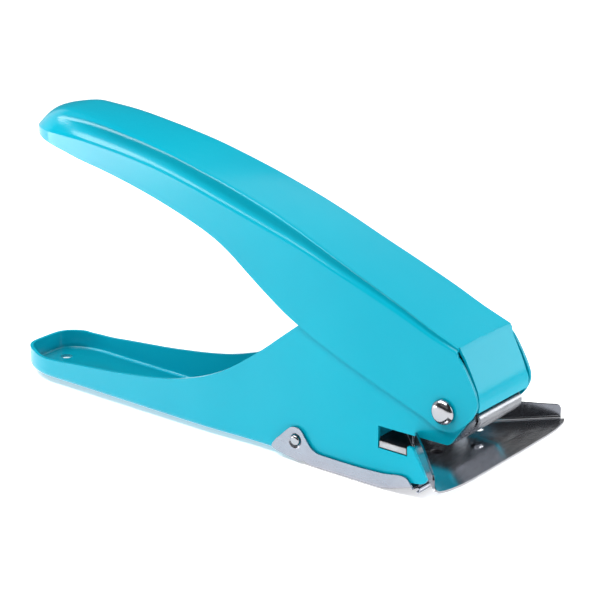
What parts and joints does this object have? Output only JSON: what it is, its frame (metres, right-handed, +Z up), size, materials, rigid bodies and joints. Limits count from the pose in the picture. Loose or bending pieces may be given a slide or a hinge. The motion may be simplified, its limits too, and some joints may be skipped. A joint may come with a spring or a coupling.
{
  "type": "corner hole punch",
  "caption": "Hand-held plier-type hole punch in cyan painted pressed steel, with a bright V-shaped guide table for paper corners and a hinged chip cover underneath.",
  "frame": {"origin": "middle of the footprint on the surface the tool stands on", "axes": "+X along the tool from the handle tails to the paper mouth, +Y along the handle pivot, +Z up"},
  "size_m": [0.2096, 0.0762, 0.1052],
  "materials": {
    "paint_cyan_handle": "gloss cyan enamel",
    "steel_press_bracket": "pressed, bare",
    "steel_drive_pin": "ground",
    "paint_cyan_frame": "gloss cyan enamel",
    "steel_guide_bracket": "bright pressed sheet",
    "steel_guide_bush": "turned",
    "steel_cross_pin": "turned",
    "chrome_pivot_rivet": "polished dome",
    "steel_pivot_spacer": "tube",
    "steel_punch": "ground tool steel",
    "steel_spring_seat": "washer",
    "steel_return_spring": "spring wire",
    "steel_die_plate": "blanked, rough sheared edges",
    "steel_die_insert": "hardened ring",
    "stainless_guide_table": "bright stainless sheet",
    "steel_table_rivet_near": "countersunk",
    "steel_table_rivet_far": "countersunk",
    "chrome_chip_cover": "satin chrome",
    "chrome_cover_stud_near": "polished",
    "chrome_cover_stud_far": "polished"
  },
  "bodies": {
    "frame": {"frame_lower": "paint_cyan_frame", "guide_bracket": "steel_guide_bracket", "guide_bush": "steel_guide_bush", "guide_cross_pin": "steel_cross_pin", "pivot_rivet": "chrome_pivot_rivet", "pivot_spacer": "steel_pivot_spacer", "return_spring": "steel_return_spring", "die_plate": "steel_die_plate", "die_insert": "steel_die_insert", "guide_table": "stainless_guide_table", "table_rivet_near": "steel_table_rivet_near", "table_rivet_far": "steel_table_rivet_far", "cover_stud_near": "chrome_cover_stud_near", "cover_stud_far": "chrome_cover_stud_far"},
    "handle": {"handle_upper": "paint_cyan_handle", "press_bracket": "steel_press_bracket", "drive_pin": "steel_drive_pin"},
    "punch_train": {"punch": "steel_punch", "spring_seat": "steel_spring_seat"},
    "cover": {"chip_cover": "chrome_chip_cover"}
  },
  "joints": [
    {"name": "handle_squeeze", "type": "hinge", "parent": "frame", "child": "handle", "pos_m": [0.0889, 0, 0.0341], "axis": [0, -1, 0], "range_deg": [0, 16.6], "stiffness_Nm_per_rad": 1.05, "springref_deg": -14.32},
    {"name": "punch_slide", "type": "slide", "parent": "frame", "child": "punch_train", "axis": [0, 0, -1], "range_m": [0, 0.006], "deforming": ["return_spring"]},
    {"name": "chip_cover_hinge", "type": "hinge", "parent": "frame", "child": "cover", "pos_m": [0.0286, 0, 0.0081], "axis": [0, 1, 0], "range_deg": [0, 40]}
  ],
  "couplings": [
    {"joint": "punch_slide", "follows": "handle_squeeze", "m_per_rad": 0.0206}
  ]
}
